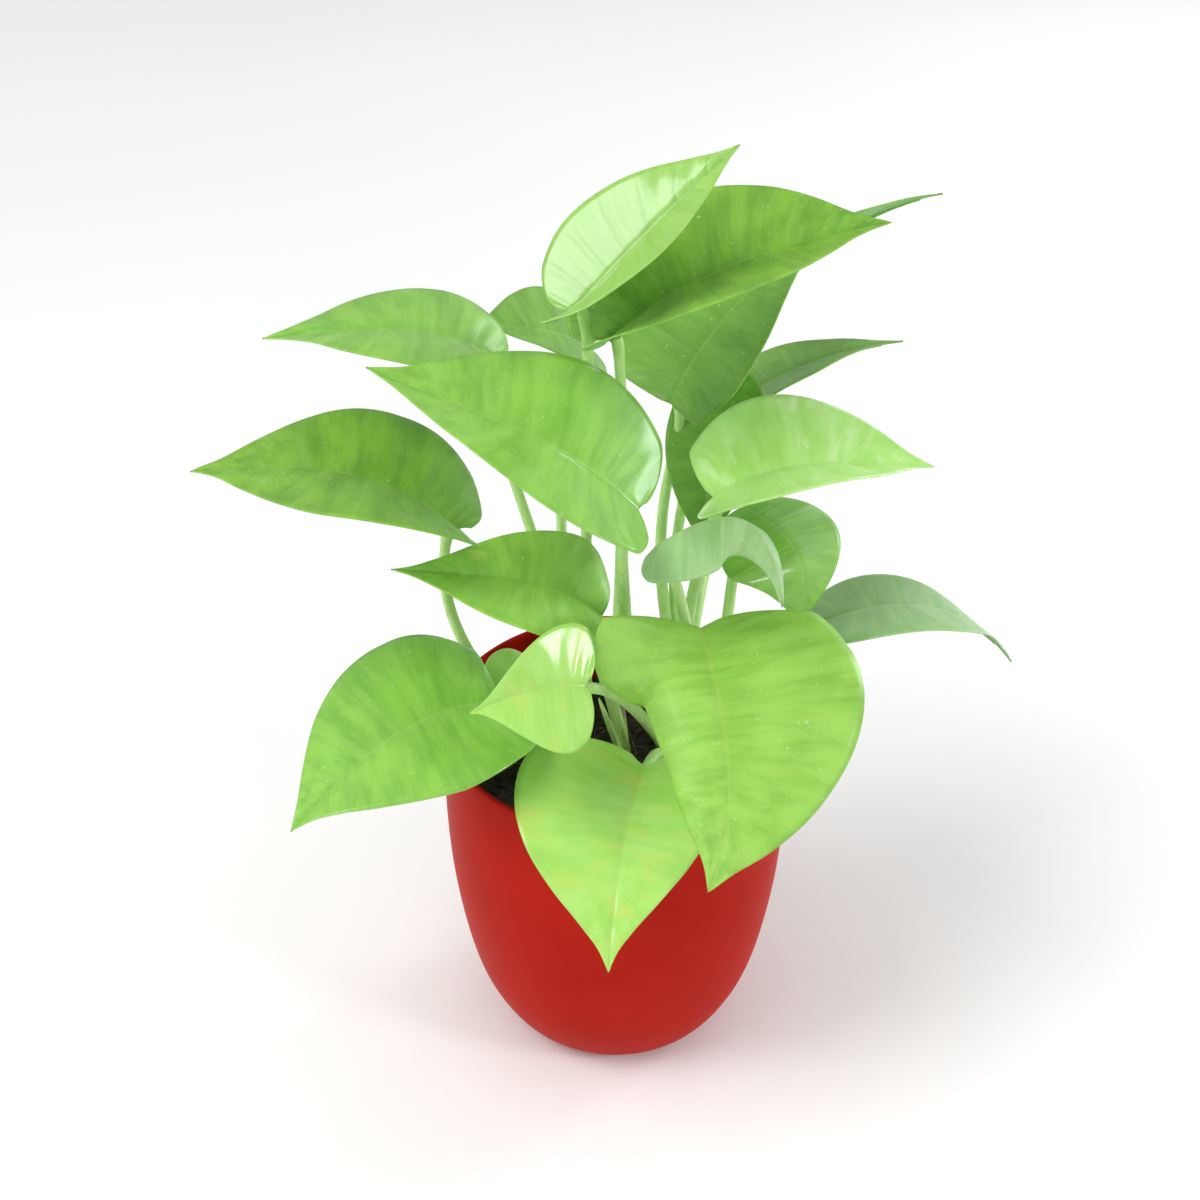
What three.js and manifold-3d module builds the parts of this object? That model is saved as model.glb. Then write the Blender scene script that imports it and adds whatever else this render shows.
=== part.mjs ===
// Golden pothos in a round tapered pot, in mm, +Z up, origin at the middle of the pot's foot.
// Every leaf is a thin heart-shaped sheet on a petiole; the petioles grow from short vine stems
// that stand in holes in the soil.

import * as THREE from "three";
import { mergeVertices } from "three/addons/utils/BufferGeometryUtils.js";
import Module from "manifold-3d";

const wasm = await Module();
wasm.setup();

// Pot

const RIM_HEIGHT = 133;
const POT_SIDES = 44;
const POT_FLOOR = 3;
const LIP_RADIUS = 1.1;
const LIP_ANGLES = [45, 90, 135];
// Outside of the pot: radius and height, from the edge of the foot to below the rounded lip
const POT_OUTSIDE = [
  [30, 0], [37, 2.2], [44, 9.5], [49.6, 20.5], [53.6, 33], [57.2, 53], [59.6, 73], [60.6, 93], [60.7, 113],
  [60.4, RIM_HEIGHT - LIP_RADIUS],
];
// Inside of the pot, from below the lip down to the edge of the floor
const POT_INSIDE = [
  [58.2, RIM_HEIGHT - LIP_RADIUS], [58.5, 113], [58.1, 85], [55, 53], [47.8, 23], [42.2, 11.5], [36, 5],
  [31, POT_FLOOR],
];

// Soil

const SOIL_HEIGHT = 108;
const SOIL_DOME = 2;
const SOIL_RADIUS = 57.8;
// Where the flat middle of the soil starts to fall toward the pot: radius and drop
const SOIL_SHOULDER = [38, 0.6];
const CLEARANCE = 0.3;
const STEM_ROOT_DEPTH = 20;

// Leaves

const BLADE_THICKNESS = 0.8;
const BLADE_ROWS = 12;
const BLADE_COLUMNS = 4;
// Share of the rows that fan round the basal lobe, and how the side veins sweep forward
const LOBE_ROWS = 0.2;
const VEIN_SWEEP = 1.25;
// How strongly a row curves forward on its way from the midrib to the margin, 0 to 1
const ROW_CURVE = 0.45;
// Places along the midrib, as shares of its length: where a lobe's lift starts and how far it reaches
const LIFT_FROM = -0.1;
const LIFT_SPAN = 0.35;
// What a leaf has when its entry below says nothing else
const CURL_FROM = -0.1;
const CURL_SPAN = 0.4;
const MEETING_ANGLE = 60;
const REACH = 0.2;
// The least bend across a half, in radians, that keeps the arc's radius finite
const LEAST_BEND = 1e-4;
// One half of the flat leaf, from the notch to the tip: place along the midrib as a share of the
// length, and distance from the midrib as a share of the half width
const HALF_OUTLINE = [
  [0, 0], [-0.07, 0.16], [-0.095, 0.42], [-0.03, 0.74], [0.12, 0.96], [0.3, 1], [0.48, 0.88], [0.65, 0.63],
  [0.79, 0.35], [0.9, 0.13], [1, 0],
];

// base and tip are where the midrib starts and ends. arch lifts the midrib's two inner control
// points along the leaf's upward normal and sway moves them to the leaf's left, seen from base to
// tip. Angles are in degrees: fold raises each half from the midrib, open adds to the fold toward
// the tip, curl bends a half down across its width from curlFrom over curlSpan of the length, roll
// turns the blade about the midrib and twist adds to the roll. skew widens the left half, taper
// narrows a half toward the tip, lobe scales a basal lobe's length and lift raises it in mm. A pair
// gives left and right. stem names the shoot, the height on it, and the petiole's first bend.
const LEAVES = [
  { base: [-14, 2, 289], tip: [34, -6, 346], width: 46, arch: [0, 2], skew: -0.05, roll: 25, fold: [30, 42],
    open: [0, -50], lobe: [0.7, 0.1], lift: [0, 10], stem: ["back", 134], bend: [-11, 18, 210], reach: 0.1 },
  { base: [-3, 8, 276], tip: [83, 18, 311], width: 62, arch: [11, 8], skew: -0.2, roll: 20, fold: [24, 44],
    open: [0, -22], lobe: [1, 0.1], lift: [0, 16], taper: [-0.45, 0], stem: ["middle", 150],
    bend: [3, 14, 205], reach: 0.15 },
  { base: [18, 40, 235], tip: [69, 62, 289], width: 56, arch: [8, 5], sway: [3, 3], skew: 0.1, roll: 12,
    fold: [8, 8], lobe: [0.1, 0.1], lift: [0, 12], stem: ["rear_right", 136], bend: [4, 40, 195] },
  { base: [51, 80, 259], tip: [113, 102, 283], width: 40, arch: [6, 8], roll: -38, fold: [8, 8],
    lobe: [0.5, 0.5], taper: [0.5, 0.5], stem: ["rear_right", 132], bend: [8, 62, 225] },
  { base: [42, 72, 216], tip: [102, 88, 233], width: 60, arch: [8, 6], roll: -14, fold: [4, 10],
    taper: [0.4, 0.8], stem: ["rear_right", 124], bend: [30, 50, 180] },
  { base: [37, 47, 237], tip: [30, 31, 181], width: 34, arch: [8, 8], fold: [5, 5],
    stem: ["rear_right", 128], bend: [32, 44, 190], meet: 90, reach: 0.1 },
  { base: [30, -12, 231], tip: [101, 0, 235], width: 56, arch: [14, 4], skew: -0.1, roll: 12,
    fold: [14, 30], lobe: [0.2, 0.8], lift: [-8, 10], taper: [-0.35, 0.2], stem: ["right", 126],
    bend: [16, -6, 170], meet: 50, reach: 0.25 },
  { base: [41, 4, 217], tip: [57, -24, 188], width: 40, arch: [16, 18], sway: [4, 8], skew: 0.1, roll: -10,
    fold: [-10, -10], lobe: [0.6, 0.1], taper: [-0.4, -1.2], stem: ["right", 122], bend: [40, 10, 170] },
  { base: [11, -34, 227], tip: [49, -58, 221], width: 38, arch: [21, 34], sway: [0, 10], skew: 0.18,
    roll: 10, fold: [-50, -30], taper: [-0.8, -0.4], stem: ["front_right", 128], bend: [28, -10, 170] },
  { base: [26, -38, 199], tip: [28, -90, 135], width: 87, arch: [22, 18], sway: [5, 11], skew: 0.05,
    roll: -10, twist: 16, fold: [5, 15], open: [0, -25], curl: [10, 150], curlFrom: 0, curlSpan: 0.12,
    lobe: [0.4, 0.3], lift: [-4, 0], stem: ["front_right", 124], bend: [26, -12, 151] },
  { base: [66, -5, 176], tip: [135, 0, 157], width: 56, arch: [21, 20], roll: -14, fold: [0, 4],
    stem: ["right", 116], bend: [44, 2, 140] },
  { base: [9, -46, 149], tip: [-3, -96, 106], width: 71, arch: [10, 8], sway: [-3, -1], skew: -0.15,
    fold: [5, 5], lobe: [1, 0.6], taper: [0.35, 0.3], stem: ["front_right", 116], bend: [13, -24, 148] },
  { base: [-38, -32, 165], tip: [-105, -64, 137], width: 63, arch: [20, 10], roll: -8, fold: [5, 10],
    curl: [15, 15], lobe: [1, 0], lift: [0, -12], taper: [0, -0.5], stem: ["left", 122],
    bend: [-26, -12, 142] },
  { base: [-10, -60, 193], tip: [-45, -72, 192], width: 43, arch: [4, 4], skew: -0.04, roll: -45,
    fold: [5, 8], open: [0, 20], lobe: [0.6, 0.8], taper: [0, 0.8], stem: ["front_right", 120],
    bend: [0, -30, 179] },
  { base: [-5, -15, 187], tip: [-72, -20, 209], width: 52, arch: [12, 4], skew: 0.16, roll: -10,
    fold: [13, 36], open: [0, -10], lobe: [1, 0], lift: [0, -24], taper: [0, 0.45], stem: ["middle", 128],
    bend: [0, -12, 150] },
  { base: [6, -36, 242], tip: [-75, -20, 282], width: 70, arch: [14, 4], sway: [3, 4], skew: -0.13,
    roll: -2, fold: [2, 7], open: [4, 12], taper: [0.1, 0], lobe: [0.5, 0.4], lift: [9, 0],
    stem: ["middle", 146], bend: [8, -12, 175] },
  { base: [-51, -9, 217], tip: [-135, -6, 237], width: 72, arch: [19, 11], fold: [27, 10], open: [-34, 0],
    curl: [6, 6], lobe: [0.1, 0.8], lift: [6, -5], stem: ["left", 126], bend: [-62, 16, 150] },
  { base: [-39, 36, 254], tip: [-114, 28, 266], width: 59, arch: [14, 5], fold: [10, 5], curl: [8, 8],
    lobe: [1, 0.6], stem: ["back", 130], bend: [-26, 26, 190] },
  { base: [-8, 84, 231], tip: [-48, 66, 252], width: 42, arch: [6, 2], skew: -0.1, roll: -14, fold: [8, 8],
    lobe: [0.4, 0.4], stem: ["back", 126], bend: [-26, 50, 200] },
  { base: [-27, -2, 153], tip: [-47, -14, 149], width: 28, arch: [4, 4], fold: [10, 10],
    stem: ["left", 118], bend: [-23, -3, 132] },
];

// Stems and petioles

const STEM_SIDES = 8;
const STEM_STEPS = 6;
// How finely a stem is searched for the place where a petiole leaves it
const SEARCH_STEPS = 100;
const PETIOLE_SIDES = 6;
const PETIOLE_STEPS = 10;
const PETIOLE_FOOT_RADIUS = 2.3;
const PETIOLE_TOP_RADIUS = 1.7;
const PETIOLE_SEAT = 2.5;
const SPEAR_RADIUS = 1.6;
const SPEAR_TIP_RADIUS = 0.5;
// Each short vine: where its middle line passes, from the soil up, and its thickness
const SHOOTS = {
  left: { line: [[-25, -6, 108], [-25, -5, 118], [-23, -4, 129]], radius: 2.9 },
  back: { line: [[-12, 16, 108], [-12, 16, 122], [-11, 17, 137]], radius: 2.9 },
  middle: {
    line: [[3, -11, 108], [2, -10, 128], [-1, -6, 153]], radius: 2.6, spear: [[3, -11, 120], [-6, -28, 163]],
  },
  front_right: { line: [[20, -12, 108], [21, -12, 118], [22, -11, 131]], radius: 3.2 },
  rear_right: { line: [[24, 12, 108], [24, 12, 122], [23, 13, 139]], radius: 2.9 },
  right: { line: [[33, 1, 108], [33, 1, 117], [31, 0, 129]], radius: 2.7 },
};

// Points nearer than this are one point
const SAME_POINT = 1e-3;

// Vectors

const vector = (p) => new THREE.Vector3(...p);
const mix = (a, b, share) => a.clone().lerp(b, share);
const step = (from, direction, distance) => from.clone().addScaledVector(direction, distance);
const radians = THREE.MathUtils.degToRad;
const clampShare = (u) => Math.min(Math.max(u, 0), 1);

// A point of an open smooth curve through the given pairs, at share 0 to 1
function alongPairs(pairs, share) {
  const spans = pairs.length - 1;
  const span = Math.min(Math.floor(share * spans), spans - 1);
  const t = share * spans - span;
  const start = pairs[span];
  const end = pairs[span + 1];
  const before = pairs[span - 1] ?? start.map((c, k) => 2 * c - end[k]);
  const after = pairs[span + 2] ?? end.map((c, k) => 2 * c - start[k]);
  return start.map((c, k) => {
    const slope = end[k] - before[k];
    const bend = 2 * before[k] - 5 * c + 4 * end[k] - after[k];
    const cubic = 3 * c - before[k] - 3 * end[k] + after[k];
    return 0.5 * (2 * c + slope * t + bend * t * t + cubic * t * t * t);
  });
}

// Leaf blades

function midribOf(leaf) {
  const base = vector(leaf.base);
  const tip = vector(leaf.tip);
  const chord = tip.clone().sub(base).normalize();
  const up = step(new THREE.Vector3(0, 0, 1), chord, -chord.z).normalize();
  const left = new THREE.Vector3().crossVectors(up, chord);
  const [nearLift, farLift] = leaf.arch;
  const [nearSway, farSway] = leaf.sway ?? [0, 0];
  const near = step(step(mix(base, tip, 1 / 3), up, nearLift), left, nearSway);
  const far = step(step(mix(base, tip, 2 / 3), up, farLift), left, farSway);
  const curve = new THREE.CubicBezierCurve3(base, near, far, tip);
  return { curve, up, length: curve.getLength() };
}

// Directions at a place on the midrib: along it, to the left in the blade, and out of its upper face
function bladeFrame(leaf, midrib, u) {
  const along = midrib.curve.getTangent(clampShare(u));
  const level = step(midrib.up, along, -along.dot(midrib.up)).normalize();
  const side = new THREE.Vector3().crossVectors(level, along);
  const roll = radians((leaf.roll ?? 0) + (leaf.twist ?? 0) * clampShare(u));
  const left = side.clone().multiplyScalar(Math.cos(roll)).addScaledVector(level, Math.sin(roll));
  const normal = level.clone().multiplyScalar(Math.cos(roll)).addScaledVector(side, -Math.sin(roll));
  return { along, left, normal };
}

// The blade's middle surface: u along the midrib, v across one half, side 0 left and 1 right
function bladePoint(leaf, midrib, side, u, v) {
  const sign = side === 0 ? 1 : -1;
  const pick = (pair, otherwise) => (pair ?? [otherwise, otherwise])[side];
  const halfWidth = leaf.width / 2;
  const share = clampShare(u);
  const across = v * halfWidth * (1 + sign * (leaf.skew ?? 0)) * (1 - pick(leaf.taper, 0) * share);
  const fold = radians(pick(leaf.fold, 0) + pick(leaf.open, 0) * share);
  const curlShare = clampShare((u - (leaf.curlFrom ?? CURL_FROM)) / (leaf.curlSpan ?? CURL_SPAN));
  const bend = (radians(pick(leaf.curl, 0)) * curlShare + LEAST_BEND) / halfWidth;
  const outward = (Math.sin(fold) - Math.sin(fold - bend * across)) / bend;
  const liftShare = Math.max(0, 1 - Math.max(u - LIFT_FROM, 0) / LIFT_SPAN);
  const lifted = pick(leaf.lift, 0) * liftShare ** 2 * v ** 2;
  const upward = (Math.cos(fold - bend * across) - Math.cos(fold)) / bend + lifted;
  const frame = bladeFrame(leaf, midrib, u);
  const point = midrib.curve.getPoint(share);
  point.addScaledVector(bladeFrame(leaf, midrib, 0).along, Math.min(u, 0) * midrib.length);
  return step(step(point, frame.left, outward * sign), frame.normal, upward);
}

// Rows of points from the left margin over the midrib to the right margin, notch to tip
function bladeGrid(leaf) {
  const midrib = midribOf(leaf);
  const rows = [];
  for (let row = 1; row <= BLADE_ROWS; row += 1) {
    const share = row / BLADE_ROWS;
    const [outlineU, outlineV] = alongPairs(HALF_OUTLINE, share);
    const veinStart = Math.max(0, (share - LOBE_ROWS) / (1 - LOBE_ROWS)) ** VEIN_SWEEP;
    const points = [];
    for (let column = -BLADE_COLUMNS; column <= BLADE_COLUMNS; column += 1) {
      const side = column < 0 ? 0 : 1;
      const t = Math.abs(column) / BLADE_COLUMNS;
      const marginU = outlineU < 0 ? outlineU * (leaf.lobe ?? [1, 1])[side] : outlineU;
      const u = veinStart + (marginU - veinStart) * t * (1 - ROW_CURVE + ROW_CURVE * t);
      points.push(bladePoint(leaf, midrib, side, u, outlineV * t));
    }
    rows.push(points);
  }
  return rows;
}

// Numbered points and triangles of a grid, with points that fall together made one
function sheetOf(rows) {
  const numbers = new Map();
  const points = [];
  const numberOf = (p) => {
    const key = p.toArray().map((c) => Math.round(c / SAME_POINT)).join();
    if (!numbers.has(key)) {
      numbers.set(key, points.length);
      points.push(p);
    }
    return numbers.get(key);
  };
  const grid = rows.map((row) => row.map(numberOf));
  const middle = BLADE_COLUMNS;
  const triangles = [];
  for (let i = 0; i + 1 < grid.length; i += 1) {
    for (let j = 0; j + 1 < grid[i].length; j += 1) {
      const [a, b, c, d] = [grid[i][j], grid[i][j + 1], grid[i + 1][j + 1], grid[i + 1][j]];
      const halves = j < middle ? [[a, b, c], [a, c, d]] : [[a, b, d], [b, c, d]];
      triangles.push(...halves.filter((t) => new Set(t).size === 3));
    }
  }
  return { points, triangles };
}

// The closed blade of a leaf, thicker by a margin on both faces
function blade(leaf, margin = 0) {
  return thicken(sheetOf(bladeGrid(leaf)), BLADE_THICKNESS + 2 * margin);
}

// A closed sheet: its points moved half the thickness both ways, and a wall round its edge
function thicken({ points, triangles }, thickness) {
  const normals = points.map(() => new THREE.Vector3());
  for (const triangle of triangles) {
    const [a, b, c] = triangle.map((n) => points[n]);
    const normal = b.clone().sub(a).cross(c.clone().sub(a));
    triangle.forEach((n) => normals[n].add(normal));
  }
  normals.forEach((n) => n.normalize());
  const upper = points.map((p, n) => step(p, normals[n], thickness / 2));
  const lower = points.map((p, n) => step(p, normals[n], -thickness / 2));
  const count = points.length;
  const faces = [];
  const edges = new Map();
  for (const [a, b, c] of triangles) {
    faces.push([a, b, c], [a + count, c + count, b + count]);
    for (const [from, to] of [[a, b], [b, c], [c, a]]) {
      if (!edges.delete(`${to},${from}`)) edges.set(`${from},${to}`, [from, to]);
    }
  }
  for (const [from, to] of edges.values()) {
    faces.push([to, from, from + count], [to, from + count, to + count]);
  }
  return closedGeometry([...upper, ...lower], faces);
}

function closedGeometry(points, faces) {
  const geometry = new THREE.BufferGeometry();
  geometry.setAttribute("position", new THREE.Float32BufferAttribute(points.flatMap((p) => p.toArray()), 3));
  geometry.setIndex(faces.flat());
  return geometry;
}

// Tubes

// A closed tube through the points, its radius running from first to last
function tube(points, firstRadius, lastRadius, sides) {
  const rings = [];
  const last = points.length - 1;
  const start = points[1].clone().sub(points[0]);
  let reference = new THREE.Vector3(1, 0, 0).cross(start).normalize();
  points.forEach((point, i) => {
    const along = points[Math.min(i + 1, last)].clone().sub(points[Math.max(i - 1, 0)]).normalize();
    reference = step(reference, along, -along.dot(reference)).normalize();
    const other = new THREE.Vector3().crossVectors(along, reference);
    const radius = firstRadius + ((lastRadius - firstRadius) * i) / last;
    for (let k = 0; k < sides; k += 1) {
      const angle = (2 * Math.PI * k) / sides;
      rings.push(step(step(point, reference, radius * Math.cos(angle)), other, radius * Math.sin(angle)));
    }
  });
  const faces = [];
  for (let i = 0; i < last; i += 1) {
    for (let k = 0; k < sides; k += 1) {
      const [a, b] = [i * sides + k, i * sides + ((k + 1) % sides)];
      faces.push([a, b, b + sides], [a, b + sides, a + sides]);
    }
  }
  const [foot, head] = [rings.length, rings.length + 1];
  for (let k = 0; k < sides; k += 1) {
    const next = (k + 1) % sides;
    faces.push([foot, next, k], [head, last * sides + k, last * sides + next]);
  }
  return closedGeometry([...rings, points[0].clone(), points[last].clone()], faces);
}

function stemCurve(shoot) {
  const line = shoot.line.map(vector);
  const root = line[0].clone().setZ(SOIL_HEIGHT - STEM_ROOT_DEPTH);
  return new THREE.CatmullRomCurve3([root, ...line]);
}

function pointAtHeight(curve, height) {
  const off = (p) => Math.abs(p.z - height);
  return curve.getPoints(SEARCH_STEPS).reduce((best, p) => (off(p) < off(best) ? p : best));
}

// The petiole runs from its stem to the midrib, a little inside the notch
function petioleTube(leaf) {
  const [shootName, height] = leaf.stem;
  const foot = pointAtHeight(stemCurve(SHOOTS[shootName]), height);
  const midrib = midribOf(leaf);
  const seat = PETIOLE_SEAT / midrib.length;
  const end = midrib.curve.getPoint(seat);
  const frame = bladeFrame(leaf, midrib, seat);
  const meet = radians(leaf.meet ?? MEETING_ANGLE);
  const level = frame.along.clone().multiplyScalar(Math.cos(meet));
  const arrival = step(level, frame.normal, Math.sin(meet));
  const beforeEnd = step(end, arrival, -foot.distanceTo(end) * (leaf.reach ?? REACH));
  const curve = new THREE.CubicBezierCurve3(foot, vector(leaf.bend), beforeEnd, end);
  return tube(curve.getPoints(PETIOLE_STEPS), PETIOLE_FOOT_RADIUS, PETIOLE_TOP_RADIUS, PETIOLE_SIDES);
}

// Joining and cutting

function toManifold(geometry) {
  return new wasm.Manifold(new wasm.Mesh({
    numProp: 3,
    vertProperties: new Float32Array(geometry.attributes.position.array),
    triVerts: new Uint32Array(geometry.index.array),
  }));
}

// The same geometry with the points that its seam and its poles repeat made one
function welded(geometry) {
  const positions = new THREE.BufferGeometry();
  positions.setAttribute("position", geometry.attributes.position);
  positions.setIndex(geometry.index);
  return mergeVertices(positions, SAME_POINT);
}

function fromManifold(solid) {
  const mesh = solid.getMesh();
  const geometry = new THREE.BufferGeometry();
  geometry.setAttribute("position", new THREE.Float32BufferAttribute(mesh.vertProperties, 3));
  geometry.setIndex([...mesh.triVerts]);
  return geometry;
}

// A stem with its petioles and its furled new leaf, cut back to stand clear of the blades
function shootGeometry(name) {
  const shoot = SHOOTS[name];
  const leaves = LEAVES.filter((leaf) => leaf.stem[0] === name);
  const stem = tube(stemCurve(shoot).getPoints(STEM_STEPS), shoot.radius, shoot.radius, STEM_SIDES);
  const pieces = leaves.map(petioleTube);
  if (shoot.spear) pieces.push(tube(shoot.spear.map(vector), SPEAR_RADIUS, SPEAR_TIP_RADIUS, PETIOLE_SIDES));
  const joined = pieces.reduce((whole, piece) => whole.add(toManifold(piece)), toManifold(stem));
  const cut = leaves.reduce((rest, leaf) => rest.subtract(toManifold(blade(leaf, CLEARANCE))), joined);
  const [largest] = cut.decompose().sort((a, b) => b.volume() - a.volume());
  return fromManifold(largest);
}

// Pot and soil

function lathe(profile) {
  const points = profile.map(([radius, height]) => new THREE.Vector2(radius, height));
  const geometry = new THREE.LatheGeometry(points, POT_SIDES);
  geometry.rotateX(Math.PI / 2);
  return geometry;
}

function potGeometry() {
  const [edgeRadius, edgeHeight] = POT_OUTSIDE.at(-1);
  const lip = LIP_ANGLES.map((degrees) => [
    edgeRadius - LIP_RADIUS * (1 - Math.cos(radians(degrees))),
    edgeHeight + LIP_RADIUS * Math.sin(radians(degrees)),
  ]);
  return lathe([[0, 0], ...POT_OUTSIDE, ...lip, ...POT_INSIDE, [0, POT_FLOOR]]);
}

function soilGeometry() {
  const edgeHeight = SOIL_HEIGHT - SOIL_DOME;
  const [shoulderRadius, shoulderDrop] = SOIL_SHOULDER;
  const side = POT_INSIDE.filter(([, height]) => height < edgeHeight).reverse();
  const shrunk = side.map(([radius, height]) => [radius - CLEARANCE, height + CLEARANCE]);
  const body = lathe([
    [0, POT_FLOOR + CLEARANCE], ...shrunk, [SOIL_RADIUS, edgeHeight],
    [shoulderRadius, SOIL_HEIGHT - shoulderDrop], [0, SOIL_HEIGHT],
  ]);
  const holes = Object.values(SHOOTS).map((shoot) => {
    const points = stemCurve(shoot).getPoints(STEM_STEPS);
    points[0].z -= CLEARANCE;
    return toManifold(tube(points, shoot.radius + CLEARANCE, shoot.radius + CLEARANCE, STEM_SIDES));
  });
  return fromManifold(holes.reduce((rest, hole) => rest.subtract(hole), toManifold(welded(body))));
}

// Whole object

const group = new THREE.Group();

function addPiece(name, geometry, color, roughness) {
  const mesh = new THREE.Mesh(geometry, new THREE.MeshStandardMaterial({ color, roughness, metalness: 0 }));
  mesh.name = name;
  group.add(mesh);
}

addPiece("pot", potGeometry(), 0xb0302a, 0.4);
addPiece("soil", soilGeometry(), 0x2c2f1f, 1);
for (const name of Object.keys(SHOOTS)) {
  addPiece(`shoot_${name}`, shootGeometry(name), 0x9cc86a, 0.5);
}
LEAVES.forEach((leaf, i) => {
  const number = String(i + 1).padStart(2, "0");
  addPiece(`leaf_${number}`, blade(leaf), 0x74b83a, 0.35);
});

export default group;
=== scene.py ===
# %% [markdown]
# # A golden pothos in a red pot
#
# A young pothos is a bunch of glossy heart-shaped blades on long petioles. What makes it look alive
# is that no two leaves lie alike: each one is arched along its midrib, folded along it, rolled to one
# side and a little wavy. The solids of the plant give where each leaf lies. This scene models every
# piece again, finer, in the same place, and gives it its finish.

# %% Tools and the frame
import math
import random

import bpy
import numpy as np
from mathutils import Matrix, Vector, noise


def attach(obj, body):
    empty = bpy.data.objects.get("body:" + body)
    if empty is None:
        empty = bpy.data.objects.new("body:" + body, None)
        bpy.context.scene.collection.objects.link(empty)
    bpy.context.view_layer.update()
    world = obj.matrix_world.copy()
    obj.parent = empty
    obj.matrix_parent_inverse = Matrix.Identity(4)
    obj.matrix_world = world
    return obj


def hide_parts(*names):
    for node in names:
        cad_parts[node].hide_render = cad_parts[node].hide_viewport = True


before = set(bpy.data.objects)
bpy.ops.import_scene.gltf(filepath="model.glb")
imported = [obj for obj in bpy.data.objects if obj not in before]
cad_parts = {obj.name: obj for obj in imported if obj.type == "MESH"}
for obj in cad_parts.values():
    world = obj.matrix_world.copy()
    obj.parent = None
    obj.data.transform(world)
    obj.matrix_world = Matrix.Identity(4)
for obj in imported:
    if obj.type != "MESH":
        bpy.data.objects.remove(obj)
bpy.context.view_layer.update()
MM = 0.001

# %% [markdown]
# ## Small helpers
#
# Operators act on whatever is selected, so each step first deselects everything. A finished piece
# rides on the only body and stands for its solid, and one function does both. Each piece takes its
# finish from a material slot that is filled where the piece is made.


# %% Selecting and finishing a piece
def only(obj):
    """Selects this object alone and makes it the active one."""
    bpy.ops.object.select_all(action="DESELECT")
    obj.select_set(True)
    bpy.context.view_layer.objects.active = obj


def apply_modifier(obj, kind, **settings):
    """Adds a modifier, sets it and applies it."""
    only(obj)
    modifier = obj.modifiers.new(kind.title(), kind)
    for name, value in settings.items():
        setattr(modifier, name, value)
    bpy.ops.object.modifier_apply(modifier=modifier.name)


def join(objects):
    """Joins meshes into the first one."""
    only(objects[0])
    for obj in objects:
        obj.select_set(True)
    bpy.ops.object.join()
    return objects[0]


def finish_piece(obj, name, node):
    """Puts the piece's place into its mesh and lets it stand for a solid of the frame."""
    obj.name = name
    only(obj)
    bpy.ops.object.transform_apply(location=True, rotation=True, scale=True)
    bpy.ops.object.shade_smooth()
    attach(obj, "root")
    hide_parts(node)


# %% [markdown]
# ## Materials as node trees
#
# Every finish here is procedural. Masks are computed from where a point lies, and noise breaks them
# up. The nodes could be drawn by hand in the shader editor, but the same few steps come back in every
# finish: a noise, a smooth step, a mix of two colours and a bump. So each of these has a helper.


# %% Node helpers
def fill(tree, node, inputs):
    """Fills a node's inputs with numbers or links."""
    for name, value in inputs.items():
        if isinstance(value, bpy.types.NodeSocket):
            tree.links.new(value, node.inputs[name])
        else:
            node.inputs[name].default_value = value


def add_node(tree, kind, inputs=None, **settings):
    """Adds a node, sets its properties, and fills its inputs."""
    made = tree.nodes.new(kind)
    for name, value in settings.items():
        setattr(made, name, value)
    fill(tree, made, inputs or {})
    return made


def calculate(tree, operation, first, second=0.0, third=0.0):
    """One Math node."""
    inputs = {0: first, 1: second, 2: third}
    return add_node(tree, "ShaderNodeMath", inputs, operation=operation).outputs[0]


def ramp(tree, value, low, high, to_low=0.0, to_high=1.0):
    """A smooth step of a value from low to high."""
    inputs = {"Value": value, "From Min": low, "From Max": high, "To Min": to_low, "To Max": to_high}
    return add_node(tree, "ShaderNodeMapRange", inputs, interpolation_type="SMOOTHSTEP").outputs[0]


def mix(tree, share, first, second):
    """Mixes two colours, each a link or red, green and blue, by a share from 0 to 1."""
    first, second = [(*c, 1.0) if isinstance(c, tuple) else c for c in (first, second)]
    factor, colour_a, colour_b, mixed = 0, 6, 7, 2
    inputs = {factor: share, colour_a: first, colour_b: second}
    return add_node(tree, "ShaderNodeMix", inputs, data_type="RGBA").outputs[mixed]


def object_place(tree):
    """The place of a point in space, in metres."""
    return add_node(tree, "ShaderNodeTexCoord").outputs["Object"]


def noise_at(tree, coordinates, scale, detail=2.0, distortion=0.0):
    """A noise value around 0.5."""
    inputs = {"Vector": coordinates, "Scale": scale, "Detail": detail, "Distortion": distortion}
    return add_node(tree, "ShaderNodeTexNoise", inputs).outputs[0]


def stretched(tree, coordinates, scale):
    """Coordinates with each axis scaled on its own."""
    return add_node(tree, "ShaderNodeMapping", {"Vector": coordinates, "Scale": scale}).outputs[0]


def bumped(tree, height, strength, distance):
    """A normal that is tilted by a height."""
    inputs = {"Strength": strength, "Distance": distance, "Height": height}
    return add_node(tree, "ShaderNodeBump", inputs).outputs[0]


# %% Groups and materials
def start_group(name, inputs=()):
    """A shader node group, and its number inputs."""
    group = bpy.data.node_groups.new(name, "ShaderNodeTree")
    for socket in inputs:
        group.interface.new_socket(socket, in_out="INPUT", socket_type="NodeSocketFloat")
    return group, group.nodes.new("NodeGroupInput").outputs


def end_group(group, values):
    """Gives the group one output for each named value."""
    for socket in values:
        group.interface.new_socket(socket, in_out="OUTPUT", socket_type="NodeSocketFloat")
    add_node(group, "NodeGroupOutput", values)
    return group


def place_group(tree, group, inputs=None):
    """Places a group in a material and gives its outputs."""
    return add_node(tree, "ShaderNodeGroup", inputs, node_tree=group).outputs


def new_material(name):
    """A material, its node tree and its Principled BSDF."""
    material = bpy.data.materials.new(name)
    material.use_nodes = True
    return material, material.node_tree, material.node_tree.nodes["Principled BSDF"]


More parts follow.
